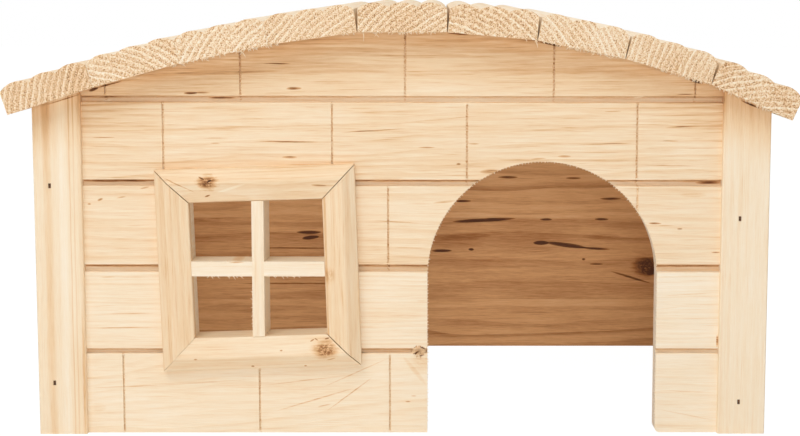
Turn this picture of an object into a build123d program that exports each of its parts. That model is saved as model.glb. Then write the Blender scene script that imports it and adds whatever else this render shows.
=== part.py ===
from build123d import *
import math
import os

os.makedirs("parts", exist_ok=True)

# Rodent hut of pale softwood: plank walls, an arched doorway, a barred window and a curved roof of
# reeded boards. It has no floor and stands on the lower edges of its walls.
# Millimetres. X runs to the right seen from the front, Y from the front to the back, Z up.
# The origin is on the ground, under the middle of the roof.

# Body
body_width = 368.0  # over the outer faces of the corner posts
body_depth = 240.0  # front faces of the posts to the outer face of the rear wall
wall_thickness = 12.0
post_width = 24.0
post_proud = 3.0  # the posts stand this far in front of the planks
post_round = 0.8

# Planks of the front wall, bottom row first
row_heights = (41.2, 41.8, 43.6, 41.8)
gable_height = 35.0  # from the top row's upper edge to the underside of the middle roof board
shadow_gaps = (2.1, 3.3, 2.7, 2.8)  # open gap at the foot of the second row and of each row above it
gap_depth = 2.8
edge_break = 0.35  # small chamfer along the plank edges

# Saw kerfs across the front of the planks, bottom row first
kerf_places = (
    (-141.6, -72.7, -6.6),
    (),
    (-7.3,),
    (-119.5, -35.2, 32.2, 117.3),
    (-147.9, -80.7, 1.3, 75.4, 145.9),
)
kerf_width = 0.9
kerf_depth = 1.4
kerf_margin = 1.2  # wood left uncut between a kerf and the plank's edge
overrun_row = 2
overrun_place = 117.9  # here the saw ran on into the row below
overrun_length = 10.0
overrun_depth = 0.7

# Tongue and groove joints
tongue_thickness = 3.6
tongue_height = 4.0
tongue_play = 0.2

# Boards of the side and rear walls, laid from the roof down: the bottom board is ripped to fit
board_height = 52.0
full_boards = 3
rear_gable_height = 17.4  # the rear wall's top board, under the middle roof board
v_groove = 0.9

# Doorway
door_width = 116.0
door_height = 138.7
door_centre = 70.4
jamb_wear = 2.5  # radius worn on the foot of the right jamb

# Window
window_place = (-72.3, 85.2)
window_tilt = 1.8  # degrees, anticlockwise seen from the front: the frame was fitted out of level
frame_size = (100.0, 102.0)
moulding_width = 16.7
moulding_ridge = 8.4  # height of the moulding at its ridge
ridge_inset = 6.4  # the ridge's distance from the outer edge
ridge_round = 2.4
moulding_outer = 4.4
moulding_inner = 5.8
moulding_round = 0.9
mitre_gaps = (0.35, 0.45, 0.1, 0.45)  # top right, top left, bottom left, bottom right
bar_setback = 2.2  # the bars' front faces lie this far behind the mouldings' ridge
bar_width = 6.0
bar_spread = 2.4  # the upright bar is this much wider at its back
bar_height = 7.4

# Corner battens inside the front wall
batten_width = 24.0
batten_depth = 16.0
batten_clearance = 13.5  # between the battens and the roof

# Roof boards, left to right: each is tilted a little differently, as nailed
roof_tilts = (17.9, 15.4, 11.9, 8.2, 0.0, -4.9, -11.8, -16.2, -23.9)
roof_overhang = 10.0  # beyond the posts in front and beyond the rear wall
eaves = 9.0  # beyond the posts at each side
open_joint = 0.35  # between square-edged roof boards, at their underside
tight_joint = 0.1  # between roof boards whose edges are planed to meet
planed_joints = (True, True, True, False, False, False, False, False)
board_edge = 11.4
board_valley = 12.4
board_crest = 14.4
ribs_per_board = 3

# Brads, with the head's long side along the grain
brad_head = (2.4, 1.3)
brad_head_depth = 0.8
brad_shank = (1.25, 1.05)
brad_sink = 0.5  # the heads are driven this far below the surface
brad_length = 30.0
batten_brad_length = 25.0
frame_brad_length = 15.0
brad_play = 0.05

# Places of the brads
left_post_brads = ((8.0, 26.4), (8.0, 126.6))  # from the post's outer face, above the ground
right_post_brads = ((13.4, 16.5), (14.7, 110.3))
batten_brad_inset = 6.0  # from the batten's free edge
batten_front_shares = (0.2, 0.45, 0.72, 0.95)  # of the batten's height
batten_side_shares = (0.12, 0.36, 0.62, 0.91)
frame_brad_inset = 4.0  # from the frame's outer edge
frame_brad_share = 0.25  # of the moulding's length, to each side of its middle
rear_brad_share = 0.25  # of the board's height, from its lower and upper edge

# Derived lines
half_width = body_width / 2
side_inside = half_width - wall_thickness
post_inside = half_width - post_width
post_front = -body_depth / 2
wall_front = post_front + post_proud
wall_inside = wall_front + wall_thickness
rear_outside = body_depth / 2
rear_inside = rear_outside - wall_thickness
post_depth = wall_inside - post_front
row_tops = [sum(row_heights[: n + 1]) for n in range(len(row_heights))]
roof_height = row_tops[-1] + gable_height
board_tops = [
    roof_height - rear_gable_height - n * board_height for n in range(full_boards, -1, -1)
]
door_radius = door_width / 2
door_left = door_centre - door_radius
door_right = door_centre + door_radius
door_spring = door_height - door_radius
bar_front = wall_front - moulding_ridge + bar_setback
roof_brad_bite = brad_sink + brad_length - board_valley
up = Vector(0, 0, 1)
far = 2 * (body_width + body_depth)

# The underside of the roof is a chain of straight boards, as high as roof_height at the middle one
roof_turns = [math.radians(tilt) for tilt in roof_tilts]
board_pitch = (body_width + 2 * eaves) / sum(math.cos(turn) for turn in roof_turns)
left_reach = board_edge * math.sin(roof_turns[0])
right_reach = -board_edge * math.sin(roof_turns[-1])
chain = [((left_reach - right_reach - body_width - 2 * eaves) / 2, 0.0)]
for turn in roof_turns:
    x, z = chain[-1]
    chain.append((x + board_pitch * math.cos(turn), z + board_pitch * math.sin(turn)))
lift = roof_height - chain[len(roof_tilts) // 2][1]
chain = [(x, z + lift) for x, z in chain]
roof_front = post_front - roof_overhang
roof_length = body_depth + 2 * roof_overhang


def underside(x):
    """Height of the roof's underside above the ground at x."""
    for (x0, z0), (x1, z1) in zip(chain, chain[1:]):
        if x <= x1:
            break
    return z0 + (x - x0) * (z1 - z0) / (x1 - x0)


batten_height = min(underside(-side_inside), underside(side_inside)) - batten_clearance


def finish(builder, name):
    """Label a finished piece and write it."""
    builder.part.label = name
    export_step(builder.part, f"parts/{name}.step")


def slab(outline, front, back, mode=Mode.ADD):
    """Extrude a closed (x, z) outline from y = front to y = back."""
    with BuildSketch(Plane.XZ.offset(-front)) as face:
        with BuildLine():
            Polyline(*outline, close=True)
        make_face()
    extrude(face.sketch, amount=front - back, mode=mode)


def trim_to_roof():
    """Cut away everything above the underside of the roof."""
    (left, z_left), (right, z_right) = chain[0], chain[-1]
    above = [(left - far, z_left), *chain, (right + far, z_right), (right + far, far), (left - far, far)]
    slab(above, -far, far, Mode.SUBTRACT)


def cut_doorway():
    """Cut the doorway: upright jambs with a half circle above them."""
    with BuildSketch(Plane.XZ) as opening:
        with BuildLine():
            foot = -wall_thickness
            Line((door_right, foot), (door_right, door_spring))
            ThreePointArc(
                (door_right, door_spring), (door_centre, door_height), (door_left, door_spring)
            )
            Line((door_left, door_spring), (door_left, foot))
            Line((door_left, foot), (door_right, foot))
        make_face()
    extrude(opening.sketch, amount=body_depth, both=True, mode=Mode.SUBTRACT)


def window_plane(turn=0.0):
    """Plane on the front wall at the window's middle, facing outwards, turned with the frame."""
    angle = math.radians(window_tilt + turn)
    along = (math.cos(angle), 0, math.sin(angle))
    middle = (window_place[0], wall_front, window_place[1])
    return Plane(origin=middle, x_dir=along, z_dir=(0, -1, 0))


def window_opening(mode):
    """The square hole inside the mouldings, carried through the wall."""
    with BuildSketch(window_plane()) as hole:
        Rectangle(frame_size[0] - 2 * moulding_width, frame_size[1] - 2 * moulding_width)
    extrude(hole.sketch, amount=wall_thickness, both=True, mode=mode)


def section(foot, top, gap=0.0, groove=True, tongue=True, bevel=0.0):
    """Section of a plank as (depth, height) points, with its outer face at depth 0.

    gap is the height of the rebate along the outer face at the foot, bevel the chamfer there
    where there is no rebate.
    """
    middle = (gap_depth + wall_thickness) / 2
    half = tongue_thickness / 2
    points = []
    if gap:
        points += [(edge_break, foot + gap), (gap_depth, foot + gap), (gap_depth, foot)]
    else:
        points += [(bevel, foot)]
    if groove:
        roof = foot + tongue_height + tongue_play
        left, right = middle - half - tongue_play, middle + half + tongue_play
        points += [(left, foot), (left, roof), (right, roof), (right, foot)]
    points += [(wall_thickness, foot), (wall_thickness, top)]
    if tongue:
        tip = top + tongue_height
        points += [(middle + half, top), (middle + half, tip), (middle - half, tip), (middle - half, top)]
        rim = max(bevel, edge_break)
        points += [(rim, top), (0, top - rim)]
    else:
        points += [(0, top)]
    points += [(0, foot + gap + edge_break) if gap else (0, foot + bevel)]
    return points if gap or bevel else points[:-1]


def plank(points, corner, inward, length):
    """Extrude a plank section from a corner on its outer face; its run is inward cross up."""
    inward = Vector(*inward)
    with BuildSketch(Plane(origin=corner, x_dir=inward, z_dir=inward.cross(up))) as face:
        with BuildLine():
            Polyline(*points, close=True)
        make_face()
    extrude(face.sketch, amount=length)


def touches(box, place, length):
    """Whether a brad driven in at a plane comes near a bounding box."""
    tip = place.origin + place.z_dir * length
    room = max(brad_head) + brad_sink
    return all(
        max(start, end) + room > low and min(start, end) - room < high
        for start, end, low, high in zip(place.origin, tip, box.min, box.max)
    )


def brad_holes(piece, seats, length):
    """Cut the holes in a piece for the brads that are driven in at the given planes."""
    box = piece.part.bounding_box()
    seats = [place for place in seats if touches(box, place, length)]
    if not seats:
        return
    across, along = (size + 2 * brad_play for size in brad_shank)
    wide, narrow = (size + 2 * brad_play for size in brad_head)
    air = wall_thickness  # the cuts start this far above the surface
    head_floor = brad_sink + brad_head_depth + brad_play
    tip = brad_sink + length + brad_play
    bottom = (Align.CENTER, Align.CENTER, Align.MIN)
    with Locations(*[seat.offset(-air) for seat in seats]):
        Box(wide, narrow, air + head_floor, align=bottom, mode=Mode.SUBTRACT)
        Box(across, along, air + tip, align=bottom, mode=Mode.SUBTRACT)


def brad_group(name, seats, length):
    """A group of like brads, one at each plane, driven along the plane's normal."""
    bottom = (Align.CENTER, Align.CENTER, Align.MIN)
    with BuildPart() as brads:
        with Locations(*[seat.offset(brad_sink) for seat in seats]):
            Box(*brad_head, brad_head_depth, align=bottom)
            Box(*brad_shank, length, align=bottom)
    finish(brads, name)


def seat(place, grain, drive):
    """Plane of a brad: at its place on the surface, head along the grain, driven inwards."""
    return Plane(origin=place, x_dir=grain, z_dir=drive)


# Where the brads go in
post_seats = [
    seat((-half_width + inset, post_front, height), up, (0, 1, 0)) for inset, height in left_post_brads
]
post_seats += [
    seat((half_width - inset, post_front, height), up, (0, 1, 0)) for inset, height in right_post_brads
]

batten_seats = []
for side in (-1, 1):
    free_edge = side * (side_inside - batten_width)
    for share in batten_front_shares:
        height = share * batten_height
        place = (free_edge + side * batten_brad_inset, wall_inside + batten_depth, height)
        batten_seats.append(seat(place, up, (0, -1, 0)))
    for share in batten_side_shares:
        place = (free_edge, wall_inside + batten_depth / 2, share * batten_height)
        batten_seats.append(seat(place, up, (side, 0, 0)))

rear_seats = []
for side in (-1, 1):
    middle = side * (half_width - wall_thickness / 2)
    for foot, top in zip((0.0, *board_tops), board_tops):
        top = min(top, underside(middle) - roof_brad_bite)
        for share in (rear_brad_share, 1 - rear_brad_share):
            place = (middle, rear_outside, foot + share * (top - foot))
            rear_seats.append(seat(place, (1, 0, 0), (0, -1, 0)))

roof_planes = [
    Plane(origin=(x, roof_front, z), x_dir=(math.cos(turn), 0, math.sin(turn)), z_dir=(0, -1, 0))
    for (x, z), turn in zip(chain, roof_turns)
]


def roof_seats(row):
    """Brads in the valleys between the ribs of each board, in line with a wall at y = row."""
    seats = []
    for board in roof_planes:
        for valley in range(1, ribs_per_board):
            on_board = (valley * board_pitch / ribs_per_board, board_valley, roof_front - row)
            seats.append(seat(board.from_local_coords(on_board), (0, 1, 0), -board.y_dir))
    return seats


front_roof_seats = roof_seats(wall_front + wall_thickness / 2)
rear_roof_seats = roof_seats(rear_outside - wall_thickness / 2)

# Each side of the window frame, anticlockwise: its distance from the middle and its length
frame_sides = (
    ("top", frame_size[1] / 2, frame_size[0]),
    ("left", frame_size[0] / 2, frame_size[1]),
    ("bottom", frame_size[1] / 2, frame_size[0]),
    ("right", frame_size[0] / 2, frame_size[1]),
)
frame_seats = []
for number, (_, reach, length) in enumerate(frame_sides):
    face = window_plane(90 * number)
    for end in (-1, 1):
        from_inside = (end * frame_brad_share * length, reach - frame_brad_inset, -wall_thickness)
        frame_seats.append(seat(face.from_local_coords(from_inside), face.x_dir, (0, -1, 0)))


def front_plank(name, row, start, end):
    """One plank of the front wall, from x = start to x = end."""
    foot = row_tops[row - 1] if row else 0.0
    gable = row == len(row_heights)
    gap = shadow_gaps[row - 1] if row else 0.0
    top = roof_height + wall_thickness if gable else row_tops[row]
    kerf_foot = foot + gap + kerf_margin
    kerf_top = top if gable else top - kerf_margin
    with BuildPart() as piece:
        plank(
            section(foot, top, gap, groove=row > 0, tongue=not gable),
            (start, wall_front, 0),
            (0, 1, 0),
            end - start,
        )
        cut_doorway()
        if not row and start > door_left:
            foot_edge = piece.edges().filter_by(Axis.Y).group_by(Axis.Z)[0].sort_by(Axis.X)[0]
            fillet(foot_edge, jamb_wear)
        window_opening(Mode.SUBTRACT)
        spots = [x for x in kerf_places[row] if start < x < end]
        for x in spots:
            with Locations((x, wall_front, kerf_foot)):
                Box(
                    kerf_width,
                    2 * kerf_depth,
                    kerf_top - kerf_foot,
                    align=(Align.CENTER, Align.CENTER, Align.MIN),
                    mode=Mode.SUBTRACT,
                )
        if row == overrun_row and start < overrun_place < end:
            with Locations((overrun_place, wall_front, kerf_top)):
                Box(
                    kerf_width,
                    2 * overrun_depth,
                    overrun_length,
                    align=(Align.CENTER, Align.CENTER, Align.MAX),
                    mode=Mode.SUBTRACT,
                )
        trim_to_roof()
        brad_holes(piece, batten_seats, batten_brad_length)
        brad_holes(piece, frame_seats, frame_brad_length)
        brad_holes(piece, front_roof_seats, brad_length)
    finish(piece, name)


# Front wall: the rows below the arch's top are in two lengths, left and right of the doorway
row_names = ("bottom", "second", "third", "lintel", "gable")
for row, row_name in enumerate(row_names):
    if row < len(row_heights) and row_tops[row] < door_height:
        front_plank(f"front_plank_{row_name}_left", row, -post_inside, door_centre)
        front_plank(f"front_plank_{row_name}_right", row, door_centre, post_inside)
    else:
        front_plank(f"front_plank_{row_name}", row, -post_inside, post_inside)

# Corner posts, cut at the top to the slope of the roof
for side, side_name in ((-1, "left"), (1, "right")):
    with BuildPart() as post:
        with Locations((side * (half_width + post_inside) / 2, post_front, 0)):
            Box(
                post_width,
                post_depth,
                roof_height,
                align=(Align.CENTER, Align.MIN, Align.MIN),
            )
        corner = post.edges().filter_by(Axis.Z).group_by(Axis.Y)[0]
        fillet(corner, post_round)
        trim_to_roof()
        brad_holes(post, post_seats, brad_length)
        brad_holes(post, front_roof_seats, brad_length)
    finish(post, f"corner_post_{side_name}")

# Corner battens, inside
for side, side_name in ((-1, "left"), (1, "right")):
    with BuildPart() as batten:
        with Locations((side * (side_inside - batten_width / 2), wall_inside, 0)):
            Box(
                batten_width,
                batten_depth,
                batten_height,
                align=(Align.CENTER, Align.MIN, Align.MIN),
            )
        brad_holes(batten, post_seats, brad_length)
        brad_holes(batten, batten_seats, batten_brad_length)
    finish(batten, f"corner_batten_{side_name}")

# Side walls, from the back of the posts to the rear wall
for side, side_name in ((-1, "left"), (1, "right")):
    for number in range(full_boards + 1):
        last = number == full_boards
        foot = board_tops[number - 1] if number else 0.0
        top = roof_height if last else board_tops[number]
        start = rear_inside if side < 0 else wall_inside
        with BuildPart() as board:
            plank(
                section(foot, top, groove=number > 0, tongue=not last, bevel=v_groove),
                (side * half_width, start, 0),
                (-side, 0, 0),
                rear_inside - wall_inside,
            )
            trim_to_roof()
            brad_holes(board, post_seats, brad_length)
            brad_holes(board, batten_seats, batten_brad_length)
            brad_holes(board, rear_seats, brad_length)
        finish(board, f"side_board_{side_name}_{number + 1}")

# Rear wall, across the full width
for number in range(len(board_tops) + 1):
    last = number == len(board_tops)
    foot = board_tops[number - 1] if number else 0.0
    top = roof_height + wall_thickness if last else board_tops[number]
    with BuildPart() as board:
        plank(
            section(foot, top, groove=number > 0, tongue=not last, bevel=v_groove),
            (half_width, rear_outside, 0),
            (0, -1, 0),
            body_width,
        )
        trim_to_roof()
        brad_holes(board, rear_seats, brad_length)
        brad_holes(board, rear_roof_seats, brad_length)
    finish(board, "rear_board_gable" if last else f"rear_board_{number + 1}")

# Window frame: four mouldings with mitred ends
for number, (side_name, reach, length) in enumerate(frame_sides):
    face = window_plane(90 * number)
    inner = reach - moulding_width
    short = length - 2 * moulding_width
    gap_end, gap_start = (mitre_gaps[(number + n) % 4] / math.sqrt(2) for n in (0, 1))
    with BuildPart() as moulding:
        with BuildSketch(face) as mitred:
            with BuildLine():
                Polyline(
                    (-length / 2 + gap_start, reach), (length / 2 - gap_end, reach),
                    (short / 2 - gap_end, inner), (-short / 2 + gap_start, inner),
                    close=True,
                )
            make_face()
        extrude(mitred.sketch, amount=moulding_ridge)
        with BuildSketch(Plane(origin=face.origin, x_dir=face.y_dir, z_dir=face.x_dir)) as profile:
            with BuildLine():
                ridge = reach - ridge_inset
                Polyline(
                    (ridge, moulding_ridge), (inner, moulding_inner), (inner, 0),
                    (reach, 0), (reach, moulding_outer), (ridge, moulding_ridge),
                )
            make_face()
            fillet(profile.vertices().sort_by(Axis.Y)[-1], ridge_round)
            outer_and_inner = profile.vertices().sort_by(Axis.Y)[2:4]
            fillet(outer_and_inner, moulding_round)
        extrude(profile.sketch, amount=length, both=True, mode=Mode.INTERSECT)
        brad_holes(moulding, frame_seats, frame_brad_length)
    finish(moulding, f"window_moulding_{side_name}")

# Glazing bars, half-lapped in the middle. They stand level: only the mouldings round them are tilted
bar_depth = wall_inside - bar_front
bar_middle = (bar_front + wall_inside) / 2
bar_reach = max(frame_size)


def upright_bar(mode, front=bar_front, back=wall_inside):
    """The upright bar between two depths, wider at the back than in front."""
    x = window_place[0]
    spread = bar_spread / (2 * bar_depth)
    near = bar_width / 2 + spread * (front - bar_front)
    away = bar_width / 2 + spread * (back - bar_front)
    with BuildSketch(Plane.XY.offset(window_place[1] - bar_reach)) as run:
        with BuildLine():
            Polyline((x - near, front), (x + near, front), (x + away, back), (x - away, back), close=True)
        make_face()
    extrude(run.sketch, amount=2 * bar_reach, mode=mode)


def cross_bar(mode, front=bar_front, back=wall_inside):
    """The bar across between two depths."""
    with Locations((window_place[0], (front + back) / 2, window_place[1])):
        Box(2 * bar_reach, back - front, bar_height, mode=mode)


with BuildPart() as upright:
    upright_bar(Mode.ADD)
    cross_bar(Mode.SUBTRACT, front=bar_middle)
    window_opening(Mode.INTERSECT)
finish(upright, "glazing_bar_upright")

with BuildPart() as cross:
    cross_bar(Mode.ADD)
    upright_bar(Mode.SUBTRACT, back=bar_middle)
    window_opening(Mode.INTERSECT)
finish(cross, "glazing_bar_cross")


def edge_places(joint):
    """How far a roof board's edge lies from a joint, at its underside and at its upper corner."""
    if joint < 0 or joint == len(planed_joints):
        return 0.0, 0.0
    if not planed_joints[joint]:
        return open_joint / 2, open_joint / 2
    half_angle = (roof_turns[joint] - roof_turns[joint + 1]) / 2
    return tight_joint / 2, tight_joint / 2 - board_edge * math.tan(half_angle)


# Roof boards: reeded with round ribs. Their edges are square, or planed to meet the next board
for number, place in enumerate(roof_planes):
    left_foot, left_top = edge_places(number - 1)
    right_foot, right_top = edge_places(number)
    ends = (left_top, board_pitch - right_top)
    rib_pitch = (ends[1] - ends[0]) / ribs_per_board
    heights = [board_edge, *[board_valley] * (ribs_per_board - 1), board_edge]
    with BuildPart() as board:
        with BuildSketch(place) as profile:
            with BuildLine():
                for rib in range(ribs_per_board):
                    left = (ends[0] + rib * rib_pitch, heights[rib])
                    right = (ends[0] + (rib + 1) * rib_pitch, heights[rib + 1])
                    crest = ((left[0] + right[0]) / 2, board_crest)
                    ThreePointArc(left, crest, right)
                foot = ((board_pitch - right_foot, 0), (left_foot, 0))
                Polyline((ends[1], board_edge), *foot, (ends[0], board_edge))
            make_face()
        extrude(profile.sketch, amount=-roof_length)
        brad_holes(board, front_roof_seats, brad_length)
        brad_holes(board, rear_roof_seats, brad_length)
    finish(board, f"roof_board_{number + 1}")

# Brads
brad_group("post_brads", post_seats, brad_length)
brad_group("batten_brads", batten_seats, batten_brad_length)
brad_group("rear_wall_brads", rear_seats, brad_length)
brad_group("window_frame_brads", frame_seats, frame_brad_length)
brad_group("roof_brads_front", front_roof_seats, brad_length)
brad_group("roof_brads_rear", rear_roof_seats, brad_length)
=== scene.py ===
import math

import bmesh
import bpy
import numpy as np
from mathutils import Matrix, Vector


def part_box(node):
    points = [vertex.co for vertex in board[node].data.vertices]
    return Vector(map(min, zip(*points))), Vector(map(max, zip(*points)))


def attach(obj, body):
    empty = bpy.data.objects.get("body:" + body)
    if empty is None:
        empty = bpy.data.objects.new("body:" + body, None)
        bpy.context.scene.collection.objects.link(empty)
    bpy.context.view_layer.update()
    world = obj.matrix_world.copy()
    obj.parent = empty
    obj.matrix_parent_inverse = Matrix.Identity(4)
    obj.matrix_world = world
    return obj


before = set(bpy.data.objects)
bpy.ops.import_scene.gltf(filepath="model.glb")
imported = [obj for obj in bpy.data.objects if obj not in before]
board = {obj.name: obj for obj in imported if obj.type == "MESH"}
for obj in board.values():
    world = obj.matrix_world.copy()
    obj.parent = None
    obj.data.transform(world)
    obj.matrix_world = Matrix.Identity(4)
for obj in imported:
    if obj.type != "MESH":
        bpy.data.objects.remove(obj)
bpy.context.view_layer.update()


# Front wall. Eight planks of pale spruce, planed, tongued and grooved, with sawn kerfs across
# them. The doorway and the window were cut through the finished wall. Every plank shows the
# growth rings of its own log, with the brown flecks and streaks that the sort has. Long dark
# flecks at the top of each groove and along the roof's underside are painted shadow.
class Field:
    """A value that varies over a surface. It wraps a socket, and arithmetic on it adds Math nodes."""

    def __init__(self, tree, socket=None):
        self.tree, self.socket = tree, socket

    def node(self, kind, settings, sockets, out=0):
        """Add a node: its type, its settings, then values or links for its sockets."""
        node = self.tree.nodes.new("ShaderNode" + kind)
        for name, value in settings.items():
            if name == "stops":
                ramp = node.color_ramp.elements
                while len(ramp) < len(value):
                    ramp.new(0.5)
                for stop, (place, colour) in zip(ramp, value):
                    stop.position, stop.color = place, colour
            else:
                setattr(node, name, value)
        for name, value in dict(sockets).items():
            if isinstance(value, Field):
                self.tree.links.new(value.socket, node.inputs[name])
            else:
                node.inputs[name].default_value = value
        return Field(self.tree, node.outputs[out])

    def math(self, operation, *others):
        """A Math node on this value and the others, this one first."""
        return self.node("Math", {"operation": operation}, enumerate((self, *others)))

    def __add__(self, other):
        return self.math("ADD", other)

    def __sub__(self, other):
        return self.math("SUBTRACT", other)

    def __rsub__(self, other):
        return (self * -1).math("ADD", other)

    def __mul__(self, other):
        return self.math("MULTIPLY", other)

    def __truediv__(self, other):
        return self.math("DIVIDE", other)

    __radd__, __rmul__ = __add__, __mul__

    def step(self, start, stop):
        """0 up to start and 1 from stop on, with a smooth rise between; start may be above stop."""
        sockets = {"Value": self, "From Min": start, "From Max": stop}
        return self.node("MapRange", {"interpolation_type": "SMOOTHSTEP"}, sockets)

    def noise(self, detail=2.0, roughness=0.5):
        """Noise from 0 to 1 at this vector."""
        sockets = {"Vector": self, "Scale": 1.0, "Detail": detail, "Roughness": roughness}
        return self.node("TexNoise", {"normalize": True}, sockets)


def linear(red, green, blue):
    """A colour given in the 0 to 255 of a screen, as the shader's linear values."""
    return [((v / 255 + 0.055) / 1.055) ** 2.4 if v > 10 else v / 3295 for v in (red, green, blue)] + [1]


# The planks' front face, and the parabola that the roof's underside follows, in millimetres
planks_face = -117.0
roof_crown, roof_fall = 203.4, 0.00115

# From the palest early wood, through tan late wood and resin, to bark and rot
wood_tones = [
    (0.0, linear(253, 240, 219)),
    (0.2, linear(248, 227, 196)),
    (0.4, linear(240, 207, 165)),
    (0.6, linear(219, 170, 118)),
    (0.8, linear(160, 104, 54)),
    (1.0, linear(82, 46, 22)),
]


def wood(
    name,
    axes,
    seed,
    tone=0.2,
    origin=(0, 0, 0),
    turn=(0, 0, 0),
    heart=(-40, 60),
    ring=3.0,
    rings=0.07,
    slope=0.0,
    wave=3.0,
    streaks=0.16,
    blotches=0.1,
    end=0.0,
    room=0.0,
    eaves_shade=0.0,
    recess_shading=0.0,
    bevel_shade=0.0,
    flecks=(),
    kerfs=(),
    knots=(),
    bands=(),
):
    """A board's wood, cut from a log as the board's own place on it says.

    axes names the board's length, width and thickness, as in "xzy", after a shift of the origin
    and a turn. The rings are circles round the heart: the distance from it, bent by slow noise,
    is divided by the ring's width, and the fraction left over is the place between two winters.
    Fibres, fine lines and streaks are noise drawn out along the grain. On the sawn ends the late
    wood is pale and the early wood is torn into pores. All these add up to one tone, from 0 to 1,
    that picks a colour between pale and dark wood. More tone is added by end on the sawn ends.
    The rest is painted shade: room browns faces towards the front, eaves darkens close under the
    roof, sunk darkens the bottom of kerfs and grooves in the front wall and lightens them, painted
    light, where it is negative, and bevels darkens slanting faces. Lengths are in millimetres.

    Marks are placed by the length and width axes. A knot is its place, its reach, how far it bends
    the rings, and its tone. A fleck is its place, length, width, lean and tone, a kerf its place
    along the board, and a band, which runs the whole length, its place across, width and tone.
    """
    material = bpy.data.materials.new(name)
    material.use_nodes = True
    tree = material.node_tree
    shader = tree.nodes["Principled BSDF"]
    start = Field(tree)
    place = start.node("TexCoord", {}, {}, "Object")
    sockets = {"Vector": place, "Location": origin, "Rotation": turn, "Scale": (0.001, 0.001, 0.001)}
    place = start.node("Mapping", {"vector_type": "TEXTURE"}, sockets)
    along, side, deep = (start.node("SeparateXYZ", {}, {0: place}, "xyz".index(a)) for a in axes)
    facing = start.node("TexCoord", {}, {}, "Normal")
    turned, slant = (
        start.node("SeparateXYZ", {}, {0: facing}, "xyz".index(a)).math("ABSOLUTE") for a in axes[:2]
    )
    sawn = turned.step(0.6, 0.9)
    forwards = start.node("SeparateXYZ", {}, {0: facing}, 1).step(-0.3, -0.8)

    def spread(long, wide):
        """The place on the board with its length and width divided by these, for noise."""
        return start.node("CombineXYZ", {}, {0: along / long + seed, 1: side / wide, 2: deep / wide})

    slow = spread(70, 16).noise(1.0) - 0.5
    quick = spread(9, 1.6).noise(2.0) - 0.5
    across = side - heart[0] - slope * along + wave * 2 * slow + 0.35 * quick
    inwards = deep + heart[1] + wave * (spread(110, 25).noise(1.0) - 0.5)
    total = tone + blotches * 2 * (spread(55, 22).noise(2.0) - 0.5)

    for x, z, reach, push, dark in knots:
        u, v = along - x, side - z
        far = (u * u * 0.6 + v * v).math("SQRT") + 1.2 * quick
        near = (far * (-1 / reach)).math("EXPONENT")
        across = across + near * push * (v * (1 / reach)).math("TANH")
        rough = spread(1.8, 0.9).noise(3.0, 0.7)
        core = (far + 3 * quick + 5 * (rough - 0.5)).step(reach * 1.1, reach * 0.3)
        total = total + dark * core * (1.9 * rough - 0.4)

    count = (across * across + inwards * inwards).math("SQRT") / ring + 0.35 * spread(400, 9).noise(1.0)
    year = start.node("TexWhiteNoise", {"noise_dimensions": "1D"}, {"W": count.math("FLOOR")})
    share = count.math("FRACT")
    late = share.step(0.35, 0.88) * share.step(1.0, 0.93) * (0.35 + 0.9 * year)
    fibre = spread(7, 0.35).noise(3.0, 0.65) - 0.5
    lines = spread(24, 0.55).noise(2.0, 0.6).step(0.56, 0.76)
    streak = spread(38, 1.6).noise(2.0, 0.6) - 0.5
    grain = rings * late + 0.24 * fibre + streaks * (2 * streak + lines)
    pores = spread(5, 0.6).noise(2.0, 0.7) - 0.5
    # room adds painted shade: faces towards the front, the room side of the rear wall, are browner, as in
    # the dim room.
    total = total + grain + sawn * (end + 2.0 * pores - late * (rings + 0.3)) + room * forwards

    # Painted shade: the tone rises close under the roof, where the roof's shadow falls on the wall.
    if eaves_shade:
        width, height = (start.node("SeparateXYZ", {}, {0: place}, n) for n in (0, 2))
        below_roof = roof_crown - roof_fall * width * width - height
        total = total + eaves_shade * below_roof.step(34, 0)
    # Painted shade in mottled patches at the bottom of kerfs and grooves in the front wall; a negative
    # amount paints them lighter, painted light.
    if recess_shading:
        mottle = 0.4 + 1.2 * spread(1.2, 1.2).noise(1.0)
        total = total + recess_shading * forwards * deep.step(planks_face + 0.3, planks_face + 0.8) * mottle
    # Painted shade: slanting faces, such as chamfers and the flanks of the roof's reeds, are darker.
    if bevel_shade:
        total = total + bevel_shade * slant.step(0.35, 0.6) * slant.step(0.95, 0.85)

    for z, width, amount in bands:
        v = side - z + 1.2 * slow * wave
        total = total + amount * (1 - v * v * (4 / width**2)).math("MAXIMUM", 0)

    for x, z, length, width, lean, dark in flecks:
        u = along - x
        v = side - z - lean * u + 0.4 * quick
        body = (1 - u * u * (4 / length**2) - v * v * (4 / width**2)).math("MAXIMUM", 0)
        total = total + dark * body.math("POWER", 0.6) * (1 + fibre * 1.5)

    for x in kerfs:
        torn = spread(0.9, 0.9).noise(1.0).step(0.45, 0.6)
        total = total + 0.2 * torn * (along - x + 0.4 * quick).math("ABSOLUTE").step(0.9, 0.4)

    ramp = start.node("ValToRGB", {"stops": wood_tones}, {0: total})
    tree.links.new(ramp.socket, shader.inputs["Base Color"])
    tree.links.new((0.6 + 0.2 * total).socket, shader.inputs["Roughness"])
    relief = fibre + late * 0.3 + quick * 0.4 - sawn * pores * 2.5
    bump = start.node("Bump", {}, {"Height": relief, "Strength": 0.5, "Distance": 0.00025})
    tree.links.new(bump.socket, shader.inputs["Normal"])
    return material


def dress(name, material):
    """Give a CAD piece its material."""
    board[name].data.materials.clear()
    board[name].data.materials.append(material)


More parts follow.
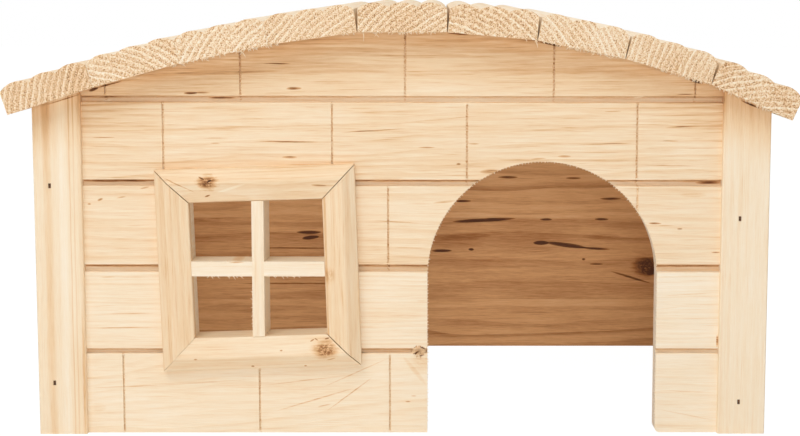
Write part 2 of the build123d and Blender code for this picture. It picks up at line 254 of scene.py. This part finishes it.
dress("front_plank_gable", wood(
    "gable_plank", "xzy", 3.1, tone=0.32, heart=(120, 70), ring=2.6, slope=0.02, wave=5, rings=0.05,
    # Close under the roof this plank is painted darker, painted shade; the bottoms of its kerfs are painted
    # lighter, painted light; its slanting faces get painted shade.
    eaves_shade=0.17, recess_shading=-0.08, bevel_shade=0.12, end=-0.2,
    kerfs=(-147.9, -80.7, 1.3, 75.4, 145.9),
    flecks=(
        (-105.5, 172.8, 7, 1.3, 0.02, 0.55), (-100, 173, 9, 0.8, 0, 0.3), (-54, 175.2, 8, 1.5, 0.03, 0.55),
        (-62.5, 187.5, 14, 0.6, 0, 0.35), (141, 172.5, 9, 0.6, 0, 0.3), (-90, 170.3, 14, 1.0, 0.01, 0.45),
        (-85, 182.8, 52, 1.6, 0.05, 0.1), (-148, 168.6, 6, 1.2, 0.2, -0.2), (118, 171, 5, 1.2, 0.2, -0.2),
        # Painted shadow: the next five flecks, up to 146.4 along, are a dark line just under the roof's
        # underside; the two after them are painted shadow at the top of the groove along the plank's lower
        # edge.
        (-153.5, 174.6, 5, 1.7, 0.32, 0.6), (-146, 176.9, 14, 0.9, 0.28, 0.4),
        (27.6, 202.3, 11, 0.9, -0.086, 0.4), (73.2, 197.4, 13, 1.0, -0.209, 0.4),
        (146.4, 178.9, 7, 1.5, -0.29, 0.6), (0, 170.8, 900, 1.3, 0, 0.16), (-149, 170.6, 28, 1.8, 0, 0.2),
    ),
    bands=((183, 5, 0.06), (199, 8, 0.06), (193.5, 3, 0.05)),
))
dress("front_plank_lintel", wood(
    "lintel_plank", "xzy", 7.7, tone=0.29, heart=(90, 90), ring=3.4, slope=0.035, wave=4.5, rings=0.08,
    # Close under the roof the lintel is painted darker, painted shade, and its slanting faces too.
    eaves_shade=0.24, bevel_shade=0.12, end=-0.2, streaks=0.2,
    kerfs=(-119.5, -35.2, 32.2, 117.3),
    flecks=(
        (-149, 150.6, 12, 0.6, 0, 0.3), (-93, 150.4, 14, 0.6, 0.01, 0.25), (-93.5, 147.8, 5, 0.7, 0, 0.3),
        (-58, 148.6, 33, 0.8, -0.01, 0.42), (-15, 154.2, 34, 0.7, 0.06, 0.35),
        (-56.5, 140.8, 8, 1.4, 0, 0.32), (12, 145.8, 9, 0.9, 0, 0.3), (35.5, 147.6, 6, 0.9, 0, 0.3),
        (28, 137.5, 2.4, 1.1, 0, 0.45), (43.5, 133.8, 10, 2.6, 0.05, 0.25),
        (68, 140.2, 8, 0.8, 0.05, 0.3), (81, 141.4, 7, 1.3, 0, 0.3), (105, 163.9, 9, 0.8, 0.03, 0.25),
        (140, 156.3, 18, 0.8, 0.03, 0.32), (102, 147.7, 30, 0.6, 0.03, 0.28),
        (134, 149.2, 9, 0.6, 0, 0.25), (134, 136.8, 30, 0.6, -0.01, 0.28), (154, 127.9, 14, 1.6, 0, 0.5),
        (-80, 155.7, 150, 1.2, 0.028, 0.1), (20, 160, 44, 0.8, 0.09, 0.15),
        # The two flecks on the next line are painted shadow at the top of the groove along the plank's
        # lower edge.
        (0, 128.9, 900, 1.5, 0, 0.34), (-142, 128.7, 40, 1.8, 0, 0.3),
    ),
    bands=((155.5, 4, 0.05), (138.6, 1.4, 0.08)),
))
# Below the lintel the planks get painted shade at the bottom of their grooves and kerfs and on their
# slanting faces; their sawn ends are paler.
grooved = {"recess_shading": 0.06, "bevel_shade": 0.12, "end": -0.2}
dress("front_plank_third_left", wood(
    "third_plank_left", "xzy", 12.4, tone=0.27, heart=(60, 110), ring=4.5, slope=-0.01, wave=4,
    **grooved, kerfs=(-7.3,),
    flecks=(
        (-151.5, 119.4, 3, 1.3, 0.3, 0.5), (-141, 120.6, 5, 0.8, 0.2, 0.25), (-157, 117.2, 2, 1, 0, 0.35),
        (-129, 125.4, 5, 0.9, 0.2, 0.3), (21, 118.4, 12, 1.3, 0.1, 0.25), (-133, 106.3, 12, 0.5, 0, 0.15),
        # The last fleck below is a painted shadow line at the top of the groove along the plank's lower
        # edge.
        (0, 108, 30, 0.8, -0.066, 0.2), (3, 95, 19, 0.7, 0, 0.2), (0, 85.8, 900, 1.8, 0, 0.36),
    ),
))
dress("front_plank_third_right", wood(
    "third_plank_right", "xzy", 15.9, tone=0.27, heart=(60, 110), ring=4.5, slope=-0.01, wave=4,
    **grooved, kerfs=(117.9,),
    flecks=(
        (127, 107.6, 7, 1.1, 0, 0.5), (139.5, 104.8, 3, 0.8, 0, 0.4), (133, 106.4, 9, 0.5, 0, 0.2),
        # The last fleck below is a painted shadow line at the top of the groove along the plank's lower
        # edge.
        (146, 122, 14, 2.6, 0, 0.14), (158, 92.8, 5, 0.8, 0, 0.35), (0, 85.8, 900, 1.8, 0, 0.36),
    ),
))
dress("front_plank_second_left", wood(
    "second_plank_left", "xzy", 21.3, tone=0.19, heart=(62, 120), ring=2.2, wave=1.6, rings=0.08,
    **grooved,
    flecks=(
        (-142, 61.4, 38, 0.8, 0.015, 0.22), (-142, 54.2, 38, 0.9, 0.01, 0.28),
        (-148.5, 80.2, 8, 0.8, 0, 0.28), (9.5, 68, 6, 0.6, 0, 0.22), (-5, 60, 34, 6, 0, 0.08),
        # The fleck below is a painted shadow line at the top of the groove along the plank's lower edge.
        (0, 42.9, 900, 1.5, 0, 0.34),
    ),
))
dress("front_plank_second_right", wood(
    "second_plank_right", "xzy", 24.4, tone=0.12, heart=(62, 120), ring=2.4, slope=0.02, wave=1.6,
    rings=0.08, **grooved,
    flecks=(
        (145, 71.5, 30, 0.7, 0.067, 0.22), (135, 64.5, 11, 0.6, 0.1, 0.18), (159.5, 47.5, 1.2, 7, 0, 0.6),
        # The fleck below is a painted shadow line at the top of the groove along the plank's lower edge.
        (0, 42.9, 900, 1.5, 0, 0.34),
    ),
))
dress("front_plank_bottom_left", wood(
    "bottom_plank_left", "xzy", 31.6, tone=0.17, heart=(-160, 60), ring=4.2, slope=0.09, wave=7,
    **grooved, streaks=0.13, knots=((10, 36.5, 6, 7, 0.3),), kerfs=(-141.6, -72.7, -6.6),
    flecks=(
        (-142, 23.8, 36, 0.8, 0.04, 0.25), (-98, 26.2, 52, 0.7, 0.067, 0.2), (-40, 14, 7, 0.8, 0.2, 0.35),
        (-27, 20, 24, 0.9, 0.75, 0.34), (-45, 17, 40, 0.9, 0.3, 0.3), (-24, 31, 34, 0.8, 0.45, 0.24),
        (-50, 27, 44, 0.7, 0.12, 0.2), (6, 32, 12, 4, -1.2, 0.14), (5.5, 19, 3, 0.8, 0, 0.35),
        (2.5, 16, 3, 0.8, 0, 0.35), (-155, 13, 9, 5, 0, 0.12), (-60, 24, 80, 8, 0, 0.07),
    ),
))
dress("front_plank_bottom_right", wood(
    "bottom_plank_right", "xzy", 34.9, tone=0.15, heart=(-60, 60), ring=3.4, slope=-0.02, wave=3,
    **grooved,
    flecks=((145, 21.2, 30, 0.7, -0.05, 0.2), (145, 9, 30, 0.7, -0.2, 0.2)),
))


def piece(name, points, faces, material):
    """Make a closed piece of points in millimetres and faces, with its faces turned outwards."""
    mesh = bpy.data.meshes.new(name)
    mesh.from_pydata((points.reshape(-1, 3) / 1000).tolist(), [], faces)
    work = bmesh.new()
    work.from_mesh(mesh)
    bmesh.ops.remove_doubles(work, verts=work.verts, dist=0.000001)
    bmesh.ops.recalc_face_normals(work, faces=work.faces)
    work.to_mesh(mesh)
    work.free()
    mesh.shade_smooth()
    mesh.materials.append(material)
    made = bpy.data.objects.new(name, mesh)
    bpy.context.scene.collection.objects.link(made)
    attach(made, "root")


def bands_of_faces(index):
    """The four-cornered faces between neighbours in the last two axes of an array of point numbers.

    The last axis goes round and closes on itself, the one before it doesn't.
    """
    onwards = np.roll(index, -1, axis=-1)
    corners = (index[..., :-1, :], onwards[..., :-1, :], onwards[..., 1:, :], index[..., 1:, :])
    return np.stack(corners, axis=-1).reshape(-1, 4).tolist()


# Left of the doorway the saw tore the wood and the torn stuff was pressed into the groove. It is
# a flat dome of random roughness, whose height falls off as the root of one less the sixth power
# of the distance from its middle. Its rim lies buried in the planks.
patch_x, patch_y, patch_z = 8.2, -114.5, 42.2
half_width, height, half_length = 4.0, 2.75, 4.1
circles, spokes = 16, 44
chance = np.random.default_rng(5)
out = np.linspace(0, 1, circles)[:, None]
round_it = np.linspace(0, 2 * np.pi, spokes, endpoint=False)[None, :]
rough = chance.uniform(-1, 1, (circles, spokes)) * (out > 0)
lump = np.stack((
    patch_x + half_width * out * np.cos(round_it) * (1 + 0.04 * rough),
    patch_y - (height + 0.5 * rough) * np.sqrt(1 - out**6),
    patch_z + half_length * out * np.sin(round_it) * (1 + 0.1 * rough),
), axis=-1)
index = np.arange(circles * spokes).reshape(circles, spokes)
piece("torn_patch", lump, bands_of_faces(index) + [index[-1].tolist()], wood(
    "torn_wood", "xzy", 36.2, tone=0.42, heart=(0, 30), ring=1.5, wave=4, rings=0.2, streaks=0.3,
    flecks=(
        (6.6, 41.2, 3, 1.1, 0.6, 0.6), (10, 43.9, 3.0, 1.0, -0.4, 0.6), (5.7, 44.3, 2.4, 0.9, 0.5, 0.5),
        (9.6, 40, 2.6, 0.9, 0.2, 0.5),
    ),
))


# Corner posts. Planed spruce stood on end, a little proud of the planks and nailed to the side
# walls behind them. The left one has broad honey-coloured bands. Close under the roof each post
# is painted darker, painted shade, and one dark fleck there is a painted shadow line where the
# roof sits on it.
dress("corner_post_left", wood(
    "left_post", "zxy", 41.7, tone=0.22, heart=(-200, 30), ring=5.0, wave=1.5, rings=0.05,
    bands=((-177, 5, 0.16), (-166, 0.9, 0.2), (-164, 0.9, 0.14), (-169.5, 5, -0.1), (-161, 2.2, 0.08)),
    streaks=0.1, eaves_shade=0.27,
    flecks=((30, -161, 70, 1.6, 0, 0.15), (169.7, -168, 5.4, 2.4, 3.096, 0.35)),
))
dress("corner_post_right", wood(
    "right_post", "zxy", 44.2, tone=0.18, heart=(200, 60), ring=1.9, wave=1.0, rings=0.06,
    streaks=0.12, eaves_shade=0.32, flecks=((167.6, 173.5, 4.4, 2.6, -2.257, 0.5),),
))


# Window frame. Four lengths of moulding with mitred ends, pinned from inside a little out of
# level. The rails were cut from knotty stuff. The bars behind them are paler, and rough sawn, so
# that fibres stand out along their edges.
lean = math.radians(1.8)
aslant = {"origin": (-0.0723, -0.117, 0.0852), "turn": (0, -lean, 0)}
dress("window_moulding_top", wood(
    "top_moulding", "xzy", 52.1, **aslant, tone=0.32, heart=(30, 25), ring=2.0, wave=3.5, rings=0.09,
    knots=((-23.3, 44.1, 4.6, 5, 0.9),),
    flecks=(
        (-26.2, 46.6, 3, 1.0, -0.5, 0.5), (-22.3, 45, 2.4, 1.0, 0.5, 0.5), (-23.5, 37.6, 3, 1.0, 0.3, 0.45),
        (-37.3, 43.5, 16, 0.8, -0.5, 0.3), (-11.4, 41.2, 15, 1.6, 0.28, -0.15),
        (32.1, 41.3, 8, 1.2, -0.1, 0.3), (20, 37, 40, 4, 0, 0.1),
    ),
))
dress("window_moulding_bottom", wood(
    "bottom_moulding", "xzy", 55.5, **aslant, tone=0.28, heart=(-30, 25), ring=4.0, wave=3.0, rings=0.05,
    knots=((32, -41.6, 6.0, 6, 0.8),),
    flecks=(
        (10, -41.5, 1.6, 0.9, 0, 0.45), (-4.8, -49.6, 2, 1.0, 0, 0.45), (21.7, -50.2, 1.6, 0.8, 0, 0.4),
        (-33.1, -44.7, 2, 0.9, 0, 0.4), (25.7, -37, 2.4, 0.9, 0.4, 0.5), (27.8, -36.6, 2, 0.8, -0.5, 0.4),
        (33.2, -36.3, 2.6, 0.9, 0.2, 0.5), (34.8, -46.8, 5, 0.8, 0.2, 0.3),
    ),
))
dress("window_moulding_left", wood(
    "left_moulding", "zxy", 58.3, **aslant, tone=0.34, heart=(-90, 30), ring=3.2, wave=2.0, rings=0.05,
))
dress("window_moulding_right", wood(
    "right_moulding", "zxy", 61.8, **aslant, tone=0.32, heart=(90, 30), ring=3.2, wave=2.0, rings=0.05,
    knots=((-4.3, 35.7, 4.0, 3, 0.25),), bands=((34, 1.4, 0.2),),
))
dress("glazing_bar_upright", wood(
    "upright_bar", "zxy", 65.3, tone=0.15, heart=(40, 30), ring=2.5, rings=0.04, wave=1,
))
dress("glazing_bar_cross", wood(
    "cross_bar", "xzy", 68.2, tone=0.15, heart=(40, 30), ring=2.5, rings=0.05, wave=1,
    flecks=((-83, 88.6, 8, 0.8, 0, 0.4),),
))


def torn_fibres(name, roots, tips, thickness, seed):
    """Fibres that a saw tore loose, one from each root to its tip.

    A fibre's middle line runs straight from root to tip, pushed aside by half a sine wave. Round
    it stand six rings of five points, with a radius of half the thickness times the root of the
    share of the length that is left. All lengths are in millimetres.
    """
    rings, corners = 6, 5
    bow, blunt = 0.18, 0.03
    roots, reach = np.array(roots), np.array(tips) - np.array(roots)
    length = np.linalg.norm(reach, axis=1, keepdims=True)
    side = np.cross(reach / length, np.random.default_rng(seed).normal(size=roots.shape))
    side /= np.linalg.norm(side, axis=1, keepdims=True)
    other = np.cross(reach / length, side)
    share = np.linspace(0, 1, rings)[None, :, None]
    aside = bow * np.sin(np.pi * share) * (length * side)[:, None]
    line = roots[:, None] + share * reach[:, None] + aside
    angle = np.linspace(0, 2 * np.pi, corners, endpoint=False)[None, None, :, None]
    ring = np.cos(angle) * side[:, None, None] + np.sin(angle) * other[:, None, None]
    points = line[:, :, None] + thickness / 2 * np.sqrt(1 + blunt - share)[..., None] * ring
    index = np.arange(len(roots) * rings * corners).reshape(-1, rings, corners)
    ends = np.concatenate((index[:, 0], index[:, -1])).tolist()
    pale = wood(name, "zxy", seed, tone=0.2, heart=(0, 40), ring=1.2, rings=0.1)
    piece(name, points, bands_of_faces(index) + ends, pale)


# x of the root, then how far the tip goes sideways and up, for the cross bar's lower and upper edge
under_bar = (
    (-97, -1.0, -1.2), (-95.5, 0.8, -1.6), (-94, -0.5, -0.9), (-92.5, 1.2, -1.3), (-88, 1.4, -1.8),
    (-86.4, -0.9, -1.1), (-84.8, 1.2, -2.0), (-83, 0.6, -1.2), (-81.2, 1.6, -1.5), (-80, -0.6, -0.8),
    (-65, 1.5, -1.4), (-62.8, -0.8, -0.9), (-60.5, 1.2, -1.8), (-58, 0.5, -1.1), (-55.6, 1.8, -1.0),
    (-53.4, -1.0, -1.5), (-52, 0.9, -0.9),
)
over_bar = (
    (-97, 0.8, 1.0), (-95.8, -0.6, 0.7), (-90, 1.0, 0.9), (-87.5, -0.8, 1.2), (-85, 1.3, 0.7),
    (-83.4, 0.4, 1.0),
)
bars_face, cross_foot, cross_top, upright_edge = -122.9, 81.7, 88.7, -75.1
bar_roots, bar_tips = [], []
for edge, fibres in ((cross_foot, under_bar), (cross_top, over_bar)):
    bar_roots += [(x, bars_face, edge) for x, _, _ in fibres]
    bar_tips += [(x + a, bars_face + 0.3, edge + b) for x, a, b in fibres]
for z in np.linspace(56, 75, 11):
    bar_roots.append((upright_edge, bars_face + 0.1, z))
    bar_tips.append((upright_edge - 0.9 - 0.4 * math.sin(5 * z), bars_face + 0.4, z + math.cos(3 * z)))
torn_fibres("bar_fibres", bar_roots, bar_tips, 0.55, 17)

# The same saw went round the doorway and left a short fringe on the planks, all along its edge
arch_x, arch_z, arch_radius = 70.4, 80.7, 58.0
buried = 0.2
fringe_y = planks_face + 0.3
turns = np.radians(np.linspace(2, 178, 110))
heights = np.arange(6.0, 80.0, 1.6)
chance = np.random.default_rng(31)
door_roots, door_tips = [], []
for a, long in zip(turns, chance.uniform(0.3, 1.0, turns.size)):
    for reach, line in ((arch_radius + buried, door_roots), (arch_radius - long, door_tips)):
        line.append((arch_x + reach * math.cos(a), fringe_y, arch_z + reach * math.sin(a)))
for z, long in zip(heights, chance.uniform(0.3, 0.9, heights.size)):
    for inwards in (1, -1):
        edge = arch_x - arch_radius * inwards
        door_roots.append((edge - buried * inwards, fringe_y, z))
        door_tips.append((edge + long * inwards, fringe_y + 0.1, z + 0.2))
torn_fibres("doorway_fibres", door_roots, door_tips, 0.6, 29)


# Inner battens and side walls. Spruce of the same stock as the front. A batten stands in each
# front corner, four boards a side are nailed to it, and the rear wall is nailed to their ends.
for number, side in enumerate(("left", "right")):
    dress(f"corner_batten_{side}", wood(
        f"{side}_batten", "zxy", 70.5 + number, tone=0.26, heart=(50, 20), ring=2.5,
    ))
    for row in range(4):
        dress(f"side_board_{side}_{row + 1}", wood(
            f"{side}_side_{row + 1}", "yzx", 75.2 + 3.3 * row + 17 * number,
            # Their slanting faces are painted darker, painted shade.
            tone=(0.2, 0.28, 0.22, 0.31)[row - 2 * number], bevel_shade=0.35,
            heart=((-40, 160, 30, 220)[row], 40 + 20 * row), ring=2.8 + 0.5 * (row % 3), wave=5, rings=0.1,
        ))


# Rear wall. Plain boards of the cheaper sort. The side that faces the room is rough and knotty,
# with strips of bark along the joints, and is painted browner as painted shade of the dim room.
rear_marks = {
    "rear_board_1": (),
    "rear_board_2": (
        (47, 80.4, 40, 2.6, 0.053, 0.5), (86, 80.8, 8, 1.6, 0, 0.4), (121, 81, 9, 1.6, 0, 0.4),
        (20.5, 61, 13, 2.0, 0, 0.5), (39, 61.8, 3.6, 1.8, 0, 0.5), (83, 66, 10, 2.8, 0, 0.5),
        (99, 64.6, 26, 3.0, -0.13, 0.5), (117, 62.4, 20, 1.6, -0.06, 0.4), (33, 70, 38, 6, 0, 0.08),
        (121, 70, 25, 4, 0, 0.08), (118, 52.5, 9, 1.2, 0, 0.3), (110, 55.5, 2.4, 1.6, 0, 0.4),
        (-63, 72.7, 16, 2.2, 0, 0.5), (-62, 69.3, 11, 2.6, 0.1, 0.5), (-70, 62.6, 80, 1.2, 0, 0.2),
        (-70, 40, 80, 1.2, 0, 0.2), (154, 48, 9, 5, 0.3, 0.3), (140, 44, 26, 1.6, -0.3, 0.3),
    ),
    "rear_board_3": (
        (62, 107.5, 13, 1.6, 0, 0.35), (103, 107, 10, 1.5, 0, 0.35), (126.5, 94, 14, 1.6, 0, 0.35),
        (34, 92.5, 10, 1.8, 0, 0.35), (-70, 97, 70, 1.2, 0.01, 0.15),
    ),
    "rear_board_4": (),
    "rear_board_gable": (),
}
for number, (name, marks) in enumerate(rear_marks.items()):
    dress(name, wood(
        name, "xzy", 120.3 + 5.1 * number, tone=(0.25, 0.29, 0.23, 0.3, 0.24)[number],
        heart=((-60, 20, 170, 100, 240)[number], 50), ring=3.4, wave=5, rings=0.1, streaks=0.08,
        # The room side is painted browner, painted shade, and the slanting faces darker, painted shade.
        blotches=0.07, room=0.36, bevel_shade=0.35, flecks=marks,
        knots=((150, 51, 8, 6, 0.6),) if number == 1 else (),
    ))


# Roof. Nine reeded boards of cheaper stuff, sawn off square and left rough at the ends, each
# nailed down at its own tilt. The rings on the ends run a different way on every board, given
# here as the slope of the rings in degrees. The saw left a fringe of fibres along the front.
roof_tilts = (17.9, 15.4, 11.9, 8.2, 0.0, -4.9, -11.8, -16.2, -23.9)
ring_slopes = (62, -35, 40, 35, 38, -25, -45, 85, 30)
roof_tones = (0.26, 0.18, 0.16, 0.2, 0.22, 0.22, 0.15, 0.18, 0.22)
board_thickness, heart_distance = 11.4, 80
lower_faces = []
for number, (tilt, ring_slope, tone) in enumerate(zip(roof_tilts, ring_slopes, roof_tones), 1):
    low, high = (np.array(corner) * 1000 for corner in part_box(f"roof_board_{number}"))
    centre = ((low[0] + high[0]) / 2000, 0, (low[2] + high[2]) / 2000)
    tilt, leaning = math.radians(tilt), math.radians(ring_slope)
    dress(f"roof_board_{number}", wood(
        f"roof_board_{number}", "yxz", 150.3 + 7.7 * number, origin=centre,
        # The flanks of the reeds are painted a little darker, painted shade.
        turn=(0, -tilt, 0), tone=tone, end=0.27, ring=2.8, wave=1.6, rings=0.08, bevel_shade=0.06,
        heart=(heart_distance * math.sin(leaning), heart_distance * math.cos(leaning)),
    ))
    corner = (low[0] if tilt > 0 else high[0]) + board_thickness * math.sin(tilt)
    lower_faces.append((corner, low[2], math.tan(tilt)))


def underside(x):
    """Height of the roof's lower side at x: the lowest of the lines of the nine lower faces."""
    return min(z + slope * (x - corner) for corner, z, slope in lower_faces)


# x of the root, then how far the tip goes sideways and down, for the long fibres along the front
long_fibres = (
    (-19.1, 0.2, 4.6), (-14.2, 3.0, 2.6), (-12.2, -1.4, 2.2), (-80, 3.4, 3.2), (-78.6, -1.0, 2.4),
    (-65.6, 0.8, 2.0), (-109.4, 3.4, 1.6), (-96.4, 2.2, 1.5), (65.6, 1.0, 3.8), (98.9, 3.9, 2.4),
)
chance = np.random.default_rng(9)
places = np.concatenate([chance.uniform(a, b, n) for a, b, n in (
    (-112, -60, 60), (-30, 20, 34), (60, 105, 40), (120, 184, 60),
)])
sideways, down = chance.normal(0, 0.8, places.size), chance.uniform(0.5, 1.6, places.size)
fringe = np.stack((places, sideways, down), axis=-1)
fringe_y = -128.8
roof_roots = [(x, fringe_y, underside(x) + 0.2) for x, _, _ in (*long_fibres, *fringe)]
roof_tips = [(x + a, fringe_y + 0.1, underside(x) - b) for x, a, b in (*long_fibres, *fringe)]
torn_fibres("roof_fibres", roof_roots, roof_tips, 0.7, 23)


# Brads. Short wire nails of dull steel with a trace of rust and a small oblong head. They are cut
# and headed from wire in strips, and an air gun drives them flush.
steel = bpy.data.materials.new("brad_steel")
steel.use_nodes = True
dull = Field(steel.node_tree)
place = dull.node("TexCoord", {}, {}, "Object")
rust = dull.node("TexNoise", {}, {"Vector": place, "Scale": 900.0, "Detail": 2.0})
rust_tones = [(0.35, linear(72, 58, 46)), (0.7, linear(122, 84, 54))]
colour = dull.node("ValToRGB", {"stops": rust_tones}, {0: rust})
steel_shader = steel.node_tree.nodes["Principled BSDF"]
steel.node_tree.links.new(colour.socket, steel_shader.inputs["Base Color"])
steel.node_tree.links.new((0.45 + 0.3 * rust).socket, steel_shader.inputs["Roughness"])
steel_shader.inputs["Metallic"].default_value = 0.6
for name in ("post", "batten", "rear_wall", "window_frame"):
    dress(f"{name}_brads", steel)
for end in ("front", "rear"):
    dress(f"roof_brads_{end}", steel)

# The photograph's camera, 1 m in front of the hut and level with its ridge. The picture was
# cropped to the left of the lens axis, so the frame is shifted by a fifteenth of its width.
camera_data = bpy.data.cameras.new("camera")
focal_pixels, picture_width = 1798.4, 800
camera_data.sensor_width = 36.0
camera_data.lens = focal_pixels * camera_data.sensor_width / picture_width
camera_data.shift_x = -0.06625
camera = bpy.data.objects.new("camera", camera_data)
bpy.context.scene.collection.objects.link(camera)
yaw, pitch, roll = math.radians(0.574), math.radians(7.224), math.radians(0.1145)
ahead = Vector((math.sin(yaw) * math.cos(pitch), math.cos(yaw) * math.cos(pitch), -math.sin(pitch)))
level = Vector((math.cos(yaw), -math.sin(yaw), 0))
rolled = Matrix.Rotation(-roll, 3, ahead)
axes = Matrix((rolled @ level, rolled @ level.cross(ahead), -ahead)).transposed()
camera.matrix_world = Matrix.Translation((0.0163, -1.0136, 0.2239)) @ axes.to_4x4()
bpy.context.scene.camera = camera

# Floor. A white sheet of paper, laid under the hut. It shows as white to the camera and keeps a
# soft trace of the hut's shadow.
floor_mesh = bpy.data.meshes.new("floor")
r = 6  # half the sheet's width, in metres
floor_mesh.from_pydata([(-r, -r, 0), (r, -r, 0), (r, r, 0), (-r, r, 0)], [], [(0, 1, 2, 3)])
floor = bpy.data.objects.new("floor", floor_mesh)
bpy.context.scene.collection.objects.link(floor)
paper = bpy.data.materials.new("floor_paper")
paper.use_nodes = True
sheet = Field(paper.node_tree)
ray = sheet.node("LightPath", {}, {}, "Is Camera Ray")
white = sheet.node("Emission", {}, {"Color": (1, 1, 1, 1), "Strength": 1.11})
matt = sheet.node("BsdfDiffuse", {}, {"Color": (0.85, 0.85, 0.85, 1)})
mixed = sheet.node("MixShader", {}, {0: ray * 0.88, 1: matt, 2: white})
output = paper.node_tree.nodes["Material Output"]
paper.node_tree.links.new(mixed.socket, output.inputs["Surface"])
floor_mesh.materials.append(paper)

# Light. A broad soft box high on the left, one overhead, one close to the camera, white all round,
# and a long weak lamp inside, behind the front wall, that fills the room. Each lamp is its power,
# size, place and aim, in watts and metres.
world = bpy.data.worlds.new("world")
bpy.context.scene.world = world
world.use_nodes = True
sky = Field(world.node_tree)
seen = sky.node("LightPath", {}, {}, "Is Camera Ray")
glossy = sky.node("LightPath", {}, {}, "Is Glossy Ray")
ambient = 0.38
strength = ambient + (1 - ambient) * seen.math("MAXIMUM", glossy)
world.node_tree.nodes["Background"].inputs["Color"].default_value = (1, 1, 1, 1)
world.node_tree.links.new(strength.socket, world.node_tree.nodes["Background"].inputs["Strength"])
bpy.context.scene.view_settings.view_transform = "Standard"
lamps = {
    "key": (10.4, (0.9, 0.9), (-0.55, -1.1, 1.4), (0, 0, 0.1)),
    "overhead": (6.5, (1.0, 1.0), (0, 0, 1.7), (0, 0, 0)),
    "front": (3.3, (0.3, 0.3), (0, -1.3, 0.3), (0, 0, 0.1)),
    "room": (0.112, (0.26, 0.1), (-0.03, -0.085, 0.068), (-0.03, 0.1, 0.05)),
}
for name, (power, size, place, aim) in lamps.items():
    lamp = bpy.data.lights.new(name, "AREA")
    lamp.energy = power
    lamp.shape = "RECTANGLE"
    lamp.size, lamp.size_y = size
    lamp_object = bpy.data.objects.new(name, lamp)
    bpy.context.scene.collection.objects.link(lamp_object)
    lamp_object.location = place
    lamp_object.rotation_euler = (Vector(aim) - Vector(place)).to_track_quat("-Z", "Y").to_euler()
    lamp_object.visible_camera = name != "room"
